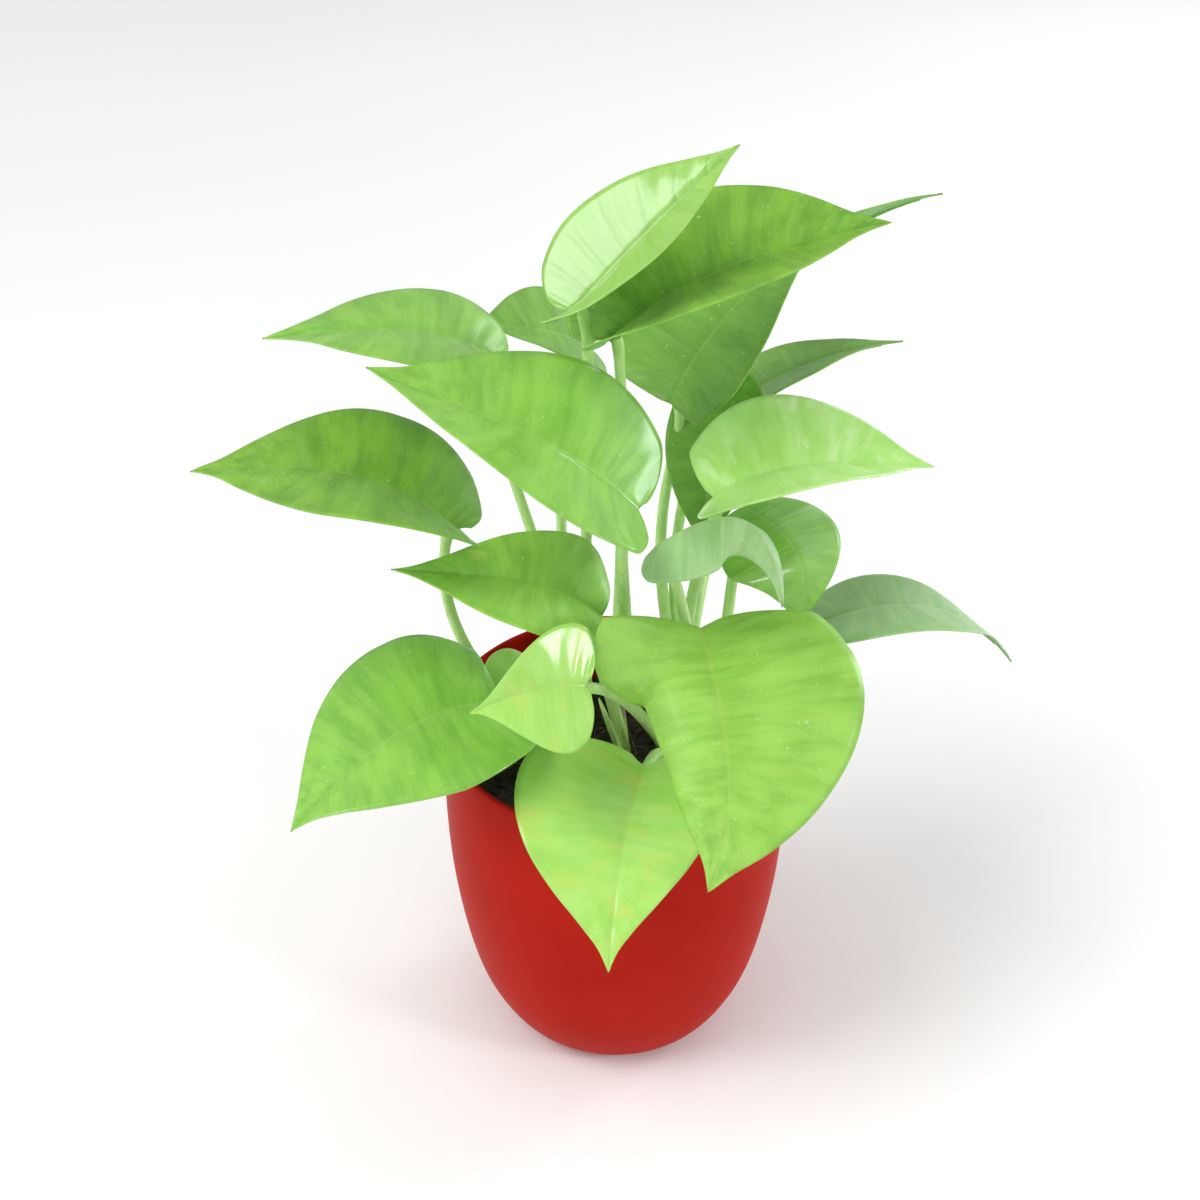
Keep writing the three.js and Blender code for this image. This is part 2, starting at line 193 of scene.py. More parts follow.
# Share of the light that goes under the skin, and how far red, green and blue light travel there
TISSUE_SHARE = 0.3
TISSUE_REACH = (0.7, 1.0, 0.25)


def let_light_in(tree, shader, depth):
    """Living tissue is a little translucent, most of all for green light."""
    fill(tree, shader, {
        "Subsurface Weight": TISSUE_SHARE, "Subsurface Radius": TISSUE_REACH, "Subsurface Scale": depth,
    })


# %% [markdown]
# ## What lies where on a blade
#
# On a pothos leaf the midrib and the side veins are paler, the rim is a thin light line, and the
# marbling runs along the side veins. This could be a painted image, but an image fits one leaf and
# one size. Here a node group turns the leaf's own UV map into masks, and each finish mixes its own
# colours with them. In that map x runs across the blade and y from the notch to the tip. A second
# map, in millimetres, carries the noise, which is drawn out along the side veins.

# %% The blade's masks
VEIN_COUNT = 9
VEIN_WIDTH = 0.16
# Shares of the way from the midrib to the rim: where veins fade, the midrib's edge, the rim's start
VEIN_FADE = (0.7, 0.98)
MIDRIB_EDGE = (0.004, 0.03)
RIM_START = 0.975
# How each noise is scaled across the blade and along it
MARBLE_SCALE = (0.05, 0.22, 1.0)
CLOUD_SCALE = (0.05, 0.15, 1.0)
DASH_SCALE = (0.05, 0.5, 1.0)
FINE_SCALE = (0.06, 0.9, 1.0)
CLOUD_SHARE = 0.65
# Noise at which marbling starts. It is full a span above, and a marbled share of 1 lowers it by a span
MARBLE_LEVEL = 0.78
MARBLE_SPAN = 0.3


def make_blade_masks():
    group, given = start_group("Blade masks", ("Marbled share", "Marble scale"))
    blade = add_node(group, "ShaderNodeUVMap", uv_map="Blade").outputs[0]
    streaks = add_node(group, "ShaderNodeUVMap", uv_map="Streaks").outputs[0]
    across, along, _ = add_node(group, "ShaderNodeSeparateXYZ", {0: blade}).outputs
    signed = calculate(group, "MULTIPLY_ADD", across, 2.0, -1.0)
    off_midrib = calculate(group, "ABSOLUTE", signed)
    midrib = ramp(group, off_midrib, *MIDRIB_EDGE, 1.0, 0.0)
    rim = ramp(group, off_midrib, RIM_START, 1.0)
    # The veins of the two halves leave the midrib in turn, half a step apart
    shifted = calculate(group, "MULTIPLY_ADD", calculate(group, "SIGN", signed), 0.25, 0.25)
    rank = calculate(group, "MULTIPLY_ADD", along, VEIN_COUNT, shifted)
    veins = ramp(group, calculate(group, "PINGPONG", rank, 0.5), 0.0, VEIN_WIDTH, 1.0, 0.0)
    veins = calculate(group, "MULTIPLY", veins, ramp(group, off_midrib, *VEIN_FADE, 1.0, 0.0))
    scaled = add_node(group, "ShaderNodeVectorMath", {
        0: stretched(group, streaks, MARBLE_SCALE), "Scale": given["Marble scale"],
    }, operation="SCALE").outputs[0]
    marble = noise_at(group, scaled, 1.0, 3.0, 0.6)
    lowered = calculate(group, "MULTIPLY", given["Marbled share"], MARBLE_SPAN)
    edge = calculate(group, "SUBTRACT", MARBLE_LEVEL, lowered)
    marbling = ramp(group, marble, edge, calculate(group, "ADD", edge, MARBLE_SPAN))
    clouds = noise_at(group, stretched(group, streaks, CLOUD_SCALE), 1.0, 3.0)
    dashes = noise_at(group, stretched(group, streaks, DASH_SCALE), 1.0, 3.0, 0.4)
    dashes = calculate(group, "MULTIPLY", dashes, 1 - CLOUD_SHARE)
    mottle = calculate(group, "MULTIPLY_ADD", clouds, CLOUD_SHARE, dashes)
    fine = noise_at(group, stretched(group, streaks, FINE_SCALE), 1.0, 2.0)
    return end_group(group, {
        "Midrib": midrib, "Side veins": veins, "Rim": rim, "Marbling": marbling, "Mottle": mottle,
        "Fine veins": fine,
    })


blade_masks = make_blade_masks()
print("masks:", [item.name for item in blade_masks.interface.items_tree])


# %% Dust, painted glints and grain of the skin
# Pale specks on the leaves: partly real dust, partly painted glints of light
DUST_AND_GLINTS_PER_METRE = 750.0
GRAIN_PER_METRE = 900.0
DULL_PER_METRE = 60.0
DUST_AND_GLINT_STRENGTH = 0.4
# How far the roughness goes below and above its mean
ROUGHNESS_DIP = 0.05
ROUGHNESS_RISE = 0.06


def make_leaf_skin():
    """What all leaves share: pale specks that are partly dust and partly painted glints, fine grain and
    duller patches.
    """
    group, given = start_group("Leaf skin", ("Mean roughness",))
    place = object_place(group)
    dust_and_glints = ramp(group, noise_at(group, place, DUST_AND_GLINTS_PER_METRE, 1.0), 0.7, 0.8, 0.0, DUST_AND_GLINT_STRENGTH)
    grain = noise_at(group, place, GRAIN_PER_METRE, 3.0)
    lowest = calculate(group, "SUBTRACT", given["Mean roughness"], ROUGHNESS_DIP)
    highest = calculate(group, "ADD", given["Mean roughness"], ROUGHNESS_RISE)
    dull = ramp(group, noise_at(group, place, DULL_PER_METRE), 0.3, 0.7, lowest, highest)
    return end_group(group, {"Dust": dust_and_glints, "Grain": grain, "Roughness": dull})


leaf_skin = make_leaf_skin()
print("skin:", [item.name for item in leaf_skin.interface.items_tree])

# %% [markdown]
# ## The finish of the leaves
#
# A pothos leaf is waxy above and dull below, and its green tells its age. New leaves are pale and
# shiny, grown ones are deep green with a satin skin, and a golden pothos has cream or yellow
# streaks. Two leaves seen at a grazing angle get a pale grey-green that is a painted sheen: it stands
# for the bright surround mirrored in their wax. One material for all would look like plastic. So one
# function builds the upper face from a few values, each age and the painted sheen get their own set
# of them, and the underside has a paler material of its own.

# %% Upper face
# Colour of the pale specks, partly dust and partly painted glints
DUST_AND_GLINT_COLOUR = (0.62, 0.8, 0.55)
LEAF_DEPTH = 0.0012
MOTTLE_RANGE = (0.3, 0.66)
# How much the pale colour shows on each
FINE_VEIN_PALE = 0.08
PALE_SHARES = {"Side veins": 0.1, "Midrib": 0.22, "Rim": 0.1}
COAT_ROUGHNESS = 0.12
# Shares of the grain, the furrows over the side veins and the fine veins in the relief
GRAIN_HEIGHT = 0.22
FURROW_HEIGHT = -0.5
FINE_VEIN_HEIGHT = 0.35


def make_leaf_material(name, deep, fresh, pale, marbled, coat, roughness=0.5, marble_scale=1.0, relief=0.3):
    """The upper face: two greens mottled together, pale veins, marbling and rim. relief is in mm."""
    material, tree, shader = new_material(name)
    masks = place_group(tree, blade_masks, {"Marbled share": marbled, "Marble scale": marble_scale})
    skin = place_group(tree, leaf_skin, {"Mean roughness": roughness})
    greens = mix(tree, ramp(tree, masks["Mottle"], *MOTTLE_RANGE), deep, fresh)
    fine_lines = ramp(tree, masks["Fine veins"], 0.35, 0.75, 0.0, FINE_VEIN_PALE)
    greens = mix(tree, fine_lines, greens, pale)
    greens = mix(tree, masks["Marbling"], greens, pale)
    for mask, share in PALE_SHARES.items():
        greens = mix(tree, calculate(tree, "MULTIPLY", masks[mask], share), greens, pale)
    # Pale specks, partly dust and partly painted glints
    greens = mix(tree, skin["Dust"], greens, DUST_AND_GLINT_COLOUR)
    height = calculate(tree, "MULTIPLY", masks["Side veins"], FURROW_HEIGHT)
    height = calculate(tree, "MULTIPLY_ADD", skin["Grain"], GRAIN_HEIGHT, height)
    height = calculate(tree, "MULTIPLY_ADD", masks["Fine veins"], FINE_VEIN_HEIGHT, height)
    fill(tree, shader, {
        "Base Color": greens, "Roughness": skin["Roughness"], "Coat Weight": coat,
        "Coat Roughness": COAT_ROUGHNESS, "Normal": bumped(tree, height, 0.5, relief * MM),
    })
    let_light_in(tree, shader, LEAF_DEPTH)
    return material


# %% Underside
UNDERSIDE_ROUGHNESS = 0.5
# How much the colour of the ribs shows in the tissue and on the ribs
TISSUE_PALE = 0.25
RIB_PALE = 0.35


def make_underside_material(name, tissue, rib):
    """The dull lower face, with raised pale veins."""
    material, tree, shader = new_material(name)
    masks = place_group(tree, blade_masks, {"Marbled share": 0.0, "Marble scale": 1.0})
    lines = calculate(tree, "MAXIMUM", masks["Midrib"], masks["Side veins"])
    mottled = ramp(tree, masks["Mottle"], 0.3, 0.7, 0.0, TISSUE_PALE)
    greens = mix(tree, mottled, tissue, rib)
    greens = mix(tree, calculate(tree, "MULTIPLY", lines, RIB_PALE), greens, rib)
    fill(tree, shader, {
        "Base Color": greens, "Roughness": UNDERSIDE_ROUGHNESS, "Normal": bumped(tree, lines, 0.3, 0.4 * MM),
    })
    let_light_in(tree, shader, LEAF_DEPTH)
    return material


underside_finish = make_underside_material("Leaf underside", (0.17, 0.4, 0.07), (0.36, 0.6, 0.2))

# %% Ages of leaves
PALE_GREEN = (0.42, 0.72, 0.2)
PALE_YOUNG = (0.55, 0.85, 0.35)
YELLOWED = (0.5, 0.68, 0.12)
CREAM = (0.66, 0.86, 0.44)
# Deep green, fresh green, pale colour, marbled share, coat, roughness, scale of the marbling, relief
AGES = {
    "grown": ((0.13, 0.32, 0.03), (0.19, 0.42, 0.05), PALE_GREEN, 0.1, 0.12),
    # Painted sheen: pale grey-green greens and little coat, painting the sheen of a blade seen at a grazing
    # angle
    "dusty": ((0.24, 0.44, 0.15), (0.32, 0.51, 0.22), PALE_YOUNG, 0.1, 0.05),
    "bright": ((0.17, 0.42, 0.04), (0.27, 0.57, 0.07), PALE_GREEN, 0.3, 0.35),
    "fresh": ((0.22, 0.47, 0.05), (0.33, 0.62, 0.1), YELLOWED, 0.6, 0.1),
    "satin": ((0.14, 0.34, 0.03), (0.24, 0.49, 0.045), PALE_GREEN, 0.2, 0.12),
    "young": ((0.33, 0.65, 0.1), (0.42, 0.74, 0.16), YELLOWED, 1.0, 0.6, 0.45, 0.9),
    "unfolding": ((0.26, 0.5, 0.07), (0.32, 0.58, 0.1), PALE_YOUNG, 0.25, 0.8, 0.36, 1.0, 1.8),
    "marbled": ((0.36, 0.68, 0.13), (0.46, 0.77, 0.22), CREAM, 0.9, 0.4, 0.45, 0.8),
}
leaf_finishes = {age: make_leaf_material(f"{age.title()} leaf", *values) for age, values in AGES.items()}
print("leaf finishes:", ", ".join(leaf_finishes))

# %% [markdown]
# ## How each leaf lies
#
# A leaf is described the way one would bend a paper one. Its midrib is a curve from base to tip that
# is lifted in the middle (arch) and may lean to one side (sway). The blade is rolled about the
# midrib, its halves are folded up or down from it, and a half may curl. skew widens the left half,
# taper narrows a half toward the tip, lobe scales a basal lobe's length and lift raises it. Sizes are
# in millimetres and angles in degrees, and a pair gives the left half and the right half as seen from
# base to tip. stem names the shoot and the height where the petiole leaves it, and bend is the point
# that it heads for. Every blade could be sculpted by hand instead, but these few words keep the solids
# and the scene in step.

# %% Leaf table
LEAVES = [
    dict(base=(-14, 2, 289), tip=(34, -6, 346), width=46, arch=(0, 2), skew=-0.05, roll=25, fold=(30, 42),
         open=(0, -50), lobe=(0.7, 0.1), lift=(0, 10), stem=("back", 134), bend=(-11, 18, 210), reach=0.1,
         age="unfolding"),
    dict(base=(-3, 8, 276), tip=(83, 18, 311), width=62, arch=(11, 8), skew=-0.2, roll=20, fold=(24, 44),
         open=(0, -22), lobe=(1, 0.1), lift=(0, 16), taper=(-0.45, 0), stem=("middle", 150),
         bend=(3, 14, 205), reach=0.15, age="satin"),
    dict(base=(18, 40, 235), tip=(69, 62, 289), width=56, arch=(8, 5), sway=(3, 3), skew=0.1, roll=12,
         fold=(8, 8), lobe=(0.1, 0.1), lift=(0, 12), stem=("rear_right", 136), bend=(4, 40, 195),
         age="grown"),
    dict(base=(51, 80, 259), tip=(113, 102, 283), width=40, arch=(6, 8), roll=-38, fold=(8, 8),
         lobe=(0.5, 0.5), taper=(0.5, 0.5), stem=("rear_right", 132), bend=(8, 62, 225), age="grown"),
    dict(base=(42, 72, 216), tip=(102, 88, 233), width=60, arch=(8, 6), roll=-14, fold=(4, 10),
         taper=(0.4, 0.8), stem=("rear_right", 124), bend=(30, 50, 180), age="grown"),
    dict(base=(37, 47, 237), tip=(30, 31, 181), width=34, arch=(8, 8), fold=(5, 5), stem=("rear_right", 128),
         bend=(32, 44, 190), meet=90, reach=0.1, age="grown"),
    dict(base=(30, -12, 231), tip=(101, 0, 235), width=56, arch=(14, 4), skew=-0.1, roll=12, fold=(14, 30),
         lobe=(0.2, 0.8), lift=(-8, 10), taper=(-0.35, 0.2), stem=("right", 126), bend=(16, -6, 170),
         meet=50, reach=0.25, age="marbled"),
    dict(base=(41, 4, 217), tip=(57, -24, 188), width=40, arch=(16, 18), sway=(4, 8), skew=0.1, roll=-10,
         fold=(-10, -10), lobe=(0.6, 0.1), taper=(-0.4, -1.2), stem=("right", 122), bend=(40, 10, 170),
         age="bright"),
    # Leaf 9 has a painted sheen: its grey-green stands for the bright surround mirrored at a grazing angle
    dict(base=(11, -34, 227), tip=(49, -58, 221), width=38, arch=(21, 34), sway=(0, 10), skew=0.18, roll=10,
         fold=(-50, -30), taper=(-0.8, -0.4), stem=("front_right", 128), bend=(28, -10, 170), age="dusty"),
    dict(base=(26, -38, 199), tip=(28, -90, 135), width=87, arch=(22, 18), sway=(5, 11), skew=0.05, roll=-10,
         twist=16, fold=(5, 15), open=(0, -25), curl=(10, 150), curl_from=0, curl_span=0.12, lobe=(0.4, 0.3),
         lift=(-4, 0), stem=("front_right", 124), bend=(26, -12, 151), age="fresh"),
    # Leaf 11 has a painted sheen: its grey-green stands for the bright surround mirrored at a grazing angle
    dict(base=(66, -5, 176), tip=(135, 0, 157), width=56, arch=(21, 20), roll=-14, fold=(0, 4),
         stem=("right", 116), bend=(44, 2, 140), age="dusty"),
    dict(base=(9, -46, 149), tip=(-3, -96, 106), width=71, arch=(10, 8), sway=(-3, -1), skew=-0.15,
         fold=(5, 5), lobe=(1, 0.6), taper=(0.35, 0.3), stem=("front_right", 116), bend=(13, -24, 148),
         age="young"),
    dict(base=(-38, -32, 165), tip=(-105, -64, 137), width=63, arch=(20, 10), roll=-8, fold=(5, 10),
         curl=(15, 15), lobe=(1, 0), lift=(0, -12), taper=(0, -0.5), stem=("left", 122),
         bend=(-26, -12, 142), age="bright"),
    dict(base=(-10, -60, 193), tip=(-45, -72, 192), width=43, arch=(4, 4), skew=-0.04, roll=-45, fold=(5, 8),
         open=(0, 20), lobe=(0.6, 0.8), taper=(0, 0.8), stem=("front_right", 120), bend=(0, -30, 179),
         age="young"),
    dict(base=(-5, -15, 187), tip=(-72, -20, 209), width=52, arch=(12, 4), skew=0.16, roll=-10,
         fold=(13, 36), open=(0, -10), lobe=(1, 0), lift=(0, -24), taper=(0, 0.45), stem=("middle", 128),
         bend=(0, -12, 150), age="fresh"),
    dict(base=(6, -36, 242), tip=(-75, -20, 282), width=70, arch=(14, 4), sway=(3, 4), skew=-0.13, roll=-2,
         fold=(2, 7), open=(4, 12), taper=(0.1, 0), lobe=(0.5, 0.4), lift=(9, 0), stem=("middle", 146),
         bend=(8, -12, 175), age="bright"),
    dict(base=(-51, -9, 217), tip=(-135, -6, 237), width=72, arch=(19, 11), fold=(27, 10), open=(-34, 0),
         curl=(6, 6), lobe=(0.1, 0.8), lift=(6, -5), stem=("left", 126), bend=(-62, 16, 150), age="satin"),
    dict(base=(-39, 36, 254), tip=(-114, 28, 266), width=59, arch=(14, 5), fold=(10, 5), curl=(8, 8),
         lobe=(1, 0.6), stem=("back", 130), bend=(-26, 26, 190), age="bright"),
    dict(base=(-8, 84, 231), tip=(-48, 66, 252), width=42, arch=(6, 2), skew=-0.1, roll=-14, fold=(8, 8),
         lobe=(0.4, 0.4), stem=("back", 126), bend=(-26, 50, 200), age="grown"),
    dict(base=(-27, -2, 153), tip=(-47, -14, 149), width=28, arch=(4, 4), fold=(10, 10), stem=("left", 118),
         bend=(-23, -3, 132), age="young"),
]
print("leaves:", len(LEAVES))

# %% [markdown]
# ## From a flat outline to a bent blade
#
# Half a flat leaf is a smooth curve from the notch round the lobe to the tip. Rows of points run from
# the midrib to that margin the way the side veins do, first fanning round the lobe, then sweeping
# forward. Every point is then carried by the bent midrib. A lattice or a bend modifier could shape a
# flat leaf too, but a formula folds each half on its own and gives the solids and this scene the same
# shape.

# %% Curves
# Place along the midrib as a share of its length, and distance from it as a share of the half width
HALF_OUTLINE = [
    (0, 0), (-0.07, 0.16), (-0.095, 0.42), (-0.03, 0.74), (0.12, 0.96), (0.3, 1), (0.48, 0.88), (0.65, 0.63),
    (0.79, 0.35), (0.9, 0.13), (1, 0),
]


def along_points(points, share):
    """Points of a smooth open curve through the given ones, at shares from 0 to 1."""
    points = np.array(points, float)
    spans = len(points) - 1
    place = np.clip(share, 0, 1) * spans
    span = np.minimum(place.astype(int), spans - 1)
    t = (place - span)[:, None]
    ends = np.vstack([2 * points[0] - points[1], points, 2 * points[-1] - points[-2]])
    a, b, c, d = ends[span], ends[span + 1], ends[span + 2], ends[span + 3]
    return 0.5 * (2 * b + (c - a) * t + (2 * a - 5 * b + 4 * c - d) * t**2 + (3 * b - a - 3 * c + d) * t**3)


def unit(vectors):
    return vectors / np.linalg.norm(vectors, axis=-1, keepdims=True)


def bezier(controls, t):
    """Points of a cubic curve with four control points."""
    t = np.asarray(t, float)[..., None]
    a, b, c, d = controls
    return (1 - t) ** 3 * a + 3 * (1 - t) ** 2 * t * b + 3 * (1 - t) * t**2 * c + t**3 * d


def bezier_direction(controls, t):
    t = np.asarray(t, float)[..., None]
    a, b, c, d = controls
    return unit((1 - t) ** 2 * (b - a) + 2 * (1 - t) * t * (c - b) + t**2 * (d - c))


# %% The midrib and the blade's own directions
def midrib_of(leaf):
    """The midrib's control points, its length, and which way is up on it."""
    base, tip = np.array(leaf["base"], float), np.array(leaf["tip"], float)
    chord = unit(tip - base)
    up = unit(np.array((0, 0, 1)) - chord[2] * chord)
    left = np.cross(up, chord)
    near_lift, far_lift = leaf["arch"]
    near_sway, far_sway = leaf.get("sway", (0, 0))
    near = base + (tip - base) / 3 + up * near_lift + left * near_sway
    far = base + (tip - base) * 2 / 3 + up * far_lift + left * far_sway
    controls = (base, near, far, tip)
    steps = np.diff(bezier(controls, np.linspace(0, 1, 200)), axis=0)
    return dict(controls=controls, up=up, length=np.linalg.norm(steps, axis=1).sum())


def blade_directions(leaf, midrib, u):
    """At places on the midrib: along it, to the left in the blade, and out of its upper face."""
    share = np.clip(u, 0, 1)
    along = bezier_direction(midrib["controls"], share)
    level = unit(midrib["up"] - (along @ midrib["up"])[..., None] * along)
    side = np.cross(level, along)
    roll = np.radians(leaf.get("roll", 0) + leaf.get("twist", 0) * share)[..., None]
    return along, np.cos(roll) * side + np.sin(roll) * level, np.cos(roll) * level - np.sin(roll) * side


# %% [markdown]
# ## Living surface
#
# The solid of a leaf is smooth. A real blade is slightly quilted between its side veins, creased
# along the midrib, and wavy toward its rim. All of that is a few tenths of a millimetre, enough to
# break up the highlights. It is modelled and not left to a bump, so that the outline waves too. Each
# leaf's number shifts its waves.

# %% Relief of a blade
QUILT_HEIGHT = 0.2
CREASE_DEPTH = 0.35
CREASE_WIDTH = 1.1
# Long waves and short ripples of a rim: height, number, and shift from leaf to leaf and half to half
WAVES = [(0.55, 1.7, 0.37, 0.9), (0.18, 4.3, 0.61, -1.7)]
# Distance from the midrib where they are full
WAVE_FREE = 12


def living_relief(number, sign, row_share, t, across):
    """Height over the smooth blade, in millimetres. sign is 1 on the left half and -1 on the right."""
    quilt = np.abs(np.sin(np.pi * (VEIN_COUNT * row_share + 0.25 + 0.25 * sign))) * 4 * t * (1 - t)
    crease = np.exp(-((across / CREASE_WIDTH) ** 2))
    rim = sum(
        height * np.sin(2 * np.pi * (count * row_share + by_leaf * number) + by_half * sign)
        for height, count, by_leaf, by_half in WAVES
    )
    rim = rim * t**2 * np.minimum(1, across / WAVE_FREE)
    return QUILT_HEIGHT * quilt - CREASE_DEPTH * crease + rim


# %% Where a point of the flat blade goes
LOBE_ROWS = 0.2
VEIN_SWEEP = 1.25
ROW_CURVE = 0.45
# As shares of the midrib's length: where a curl and a lobe's lift start, and how far they go
CURL_FROM, CURL_SPAN = -0.1, 0.4
LIFT_FROM, LIFT_SPAN = -0.1, 0.35
LEAST_BEND = 1e-4


def blade_surface(leaf, number, midrib, side, row_share, t):
    """Points of one half: a row's share from the notch to the tip, and t from the midrib to the rim."""

    def pick(name, otherwise=0):
        return leaf.get(name, (otherwise, otherwise))[side]

    sign = 1 - 2 * side
    outline = along_points(HALF_OUTLINE, row_share)
    margin_u = np.where(outline[:, 0] < 0, outline[:, 0] * pick("lobe", 1), outline[:, 0])
    vein_start = np.maximum(0, (row_share - LOBE_ROWS) / (1 - LOBE_ROWS)) ** VEIN_SWEEP
    u = vein_start + (margin_u - vein_start) * ((1 - ROW_CURVE) * t + ROW_CURVE * t**2)
    v = outline[:, 1] * t
    share = np.clip(u, 0, 1)
    half_width = leaf["width"] / 2
    across = v * half_width * (1 + sign * leaf.get("skew", 0)) * (1 - pick("taper") * share)
    fold = np.radians(pick("fold") + pick("open") * share)
    curl_share = (u - leaf.get("curl_from", CURL_FROM)) / leaf.get("curl_span", CURL_SPAN)
    bend = (np.radians(pick("curl")) * np.clip(curl_share, 0, 1) + LEAST_BEND) / half_width
    outward = (np.sin(fold) - np.sin(fold - bend * across)) / bend
    upward = (np.cos(fold - bend * across) - np.cos(fold)) / bend
    lobe_share = np.maximum(0, 1 - np.maximum(u - LIFT_FROM, 0) / LIFT_SPAN)
    upward = upward + pick("lift") * lobe_share**2 * v**2 + living_relief(number, sign, row_share, t, across)
    _, left, normal = blade_directions(leaf, midrib, u)
    start = blade_directions(leaf, midrib, np.zeros(1))[0]
    points = bezier(midrib["controls"], share) + np.minimum(u, 0)[:, None] * midrib["length"] * start
    return points + left * (outward * sign)[:, None] + normal * upward[:, None]


# %% A leaf from a grid
BLADE_ROWS = 66
BLADE_COLUMNS = 34
# The grid starts a little past the notch, and its columns stand closer near the midrib
FIRST_ROW = 1 / 12
COLUMN_CROWDING = 0.25
BLADE_THICKNESS = 0.5
WELD_DISTANCE = 0.02
# Distance between two leaves in the noise that draws their streaks
STREAK_STEP = 137.0


def set_uv_map(mesh, name, places):
    """Fills a UV map from one place for each vertex."""
    corners = np.empty(len(mesh.loops), int)
    mesh.loops.foreach_get("vertex_index", corners)
    mesh.uv_layers[name].data.foreach_set("uv", places[corners].ravel())


def make_blade(leaf, number, midrib):
    """Bends a flat grid into the blade, gives it its UV maps, and thickens it."""
    bpy.ops.object.select_all(action="DESELECT")
    bpy.ops.mesh.primitive_grid_add(x_subdivisions=BLADE_COLUMNS, y_subdivisions=BLADE_ROWS, size=2)
    blade = bpy.context.active_object
    mesh = blade.data
    flat = np.empty(len(mesh.vertices) * 3)
    mesh.vertices.foreach_get("co", flat)
    x, y = flat.reshape(-1, 3)[:, :2].T
    row_share = FIRST_ROW + (1 - FIRST_ROW) * (y + 1) / 2
    t = np.abs(x) * (1 - COLUMN_CROWDING + COLUMN_CROWDING * np.abs(x))
    left, right = [blade_surface(leaf, number, midrib, side, row_share, t) for side in (0, 1)]
    mesh.vertices.foreach_set("co", (np.where((x < 0)[:, None], left, right) * MM).ravel())
    signed = np.sign(x) * t
    across, along = signed * leaf["width"] / 2 + STREAK_STEP * number, row_share * midrib["length"]
    mesh.uv_layers[0].name = "Blade"
    mesh.uv_layers.new(name="Streaks")
    set_uv_map(mesh, "Blade", np.stack([0.5 + 0.5 * signed, row_share], 1))
    set_uv_map(mesh, "Streaks", np.stack([across, along], 1))
    only(blade)
    bpy.ops.object.mode_set(mode="EDIT")
    bpy.ops.mesh.select_all(action="SELECT")
    bpy.ops.mesh.remove_doubles(threshold=WELD_DISTANCE * MM)
    bpy.ops.object.mode_set(mode="OBJECT")
    mesh.materials.append(leaf_finishes[leaf["age"]])
    mesh.materials.append(underside_finish)
    apply_modifier(blade, "SOLIDIFY", thickness=BLADE_THICKNESS * MM, offset=0, material_offset=1)
    return blade


# %% [markdown]
# ## Round things along a line
#
# A petiole, a stem, a fibre of the soil and the rib under a blade are all round bars whose thickness
# changes along a curve. A cylinder would have to be bent and pinched. A curve object with a bevel
# does both at once: each of its points carries its own radius, and the result is converted to a mesh.


# %% Bars along a curve
def start_curve():
    """An empty curve object, made the active one."""
    bpy.ops.object.select_all(action="DESELECT")
    bpy.ops.curve.primitive_bezier_curve_add()
    curve = bpy.context.active_object
    curve.data.splines.clear()
    return curve


def add_spline(curve, points, radii):
    """Adds a line through the points, with a radius at each, all in millimetres."""
    spline = curve.data.splines.new("POLY")
    spline.points.add(len(points) - 1)
    for knot, place, radius in zip(spline.points, points, radii):
        knot.co = (*(np.asarray(place) * MM), 1)
        knot.radius = radius


def curve_to_mesh(curve, resolution):
    """Makes closed round bars of the active curve's lines."""
    curve.data.dimensions = "3D"
    curve.data.bevel_depth = MM
    curve.data.bevel_resolution = resolution
    curve.data.use_fill_caps = True
    bpy.ops.object.convert(target="MESH")
    return bpy.context.active_object


def bar(points, radii, finish, resolution=4):
    """One bar through the points."""
    curve = start_curve()
    add_spline(curve, points, radii)
    made = curve_to_mesh(curve, resolution)
    made.data.materials.append(finish)
    return made


# %% The rib under a blade
RIB_END = 0.88
RIB_RADIUS = 0.85
RIB_THINNING = 0.65
RIB_DEPTH = 0.35
RIB_POINTS = 30


def make_rib(leaf, midrib):
    """The raised rib under a blade, nearly to its tip."""
    u = np.linspace(0.0, RIB_END, RIB_POINTS)
    normal = blade_directions(leaf, midrib, u)[2]
    radii = RIB_RADIUS - RIB_THINNING * u
    places = bezier(midrib["controls"], u) - normal * (RIB_DEPTH + radii)[:, None]
    return bar(places, radii, underside_finish, resolution=2)


# %% All the leaves
for number, leaf in enumerate(LEAVES, 1):
    midrib = midrib_of(leaf)
    blade = make_blade(leaf, number, midrib)
    faces = len(blade.data.polygons)
    finish_piece(join([blade, make_rib(leaf, midrib)]), f"blade_{number:02d}", f"leaf_{number:02d}")
print("blades:", len(LEAVES), "with", faces, "faces each")

# %% [markdown]
# ## Stems and petioles
#
# The cuttings in the pot are short vines with a thickened ring where each petiole leaves. The petiole
# wraps the stem at its foot, runs slim, and swells a little just below the blade. All of it is smooth
# green skin with faint long streaks, which is noise drawn out along the upright axis. The middle
# vine has brown bark above its lowest joint, and a new leaf, still furled to a thin spear, stands
# beside it. Straight cylinders could stand for all of it, but these plants have no straight line.

# %% Stem finish
STREAK_SCALE = (700, 700, 60)
PATCHES_PER_METRE = 28.0
STEM_DEPTH = 0.002
BLUSH_STRENGTH = 0.6


def make_stem_skin():
    """Streaks along the stem and the patches that blush."""
    group, given = start_group("Stem skin", ("Blush strength",))
    place = object_place(group)
    streaks = noise_at(group, stretched(group, place, STREAK_SCALE), 1.0, 3.0)
    patches = noise_at(group, place, PATCHES_PER_METRE, 2.0)
    blush = ramp(group, patches, 0.55, 0.75, 0.0, given["Blush strength"])
    return end_group(group, {"Streaks": streaks, "Blush": blush})


stem_skin = make_stem_skin()


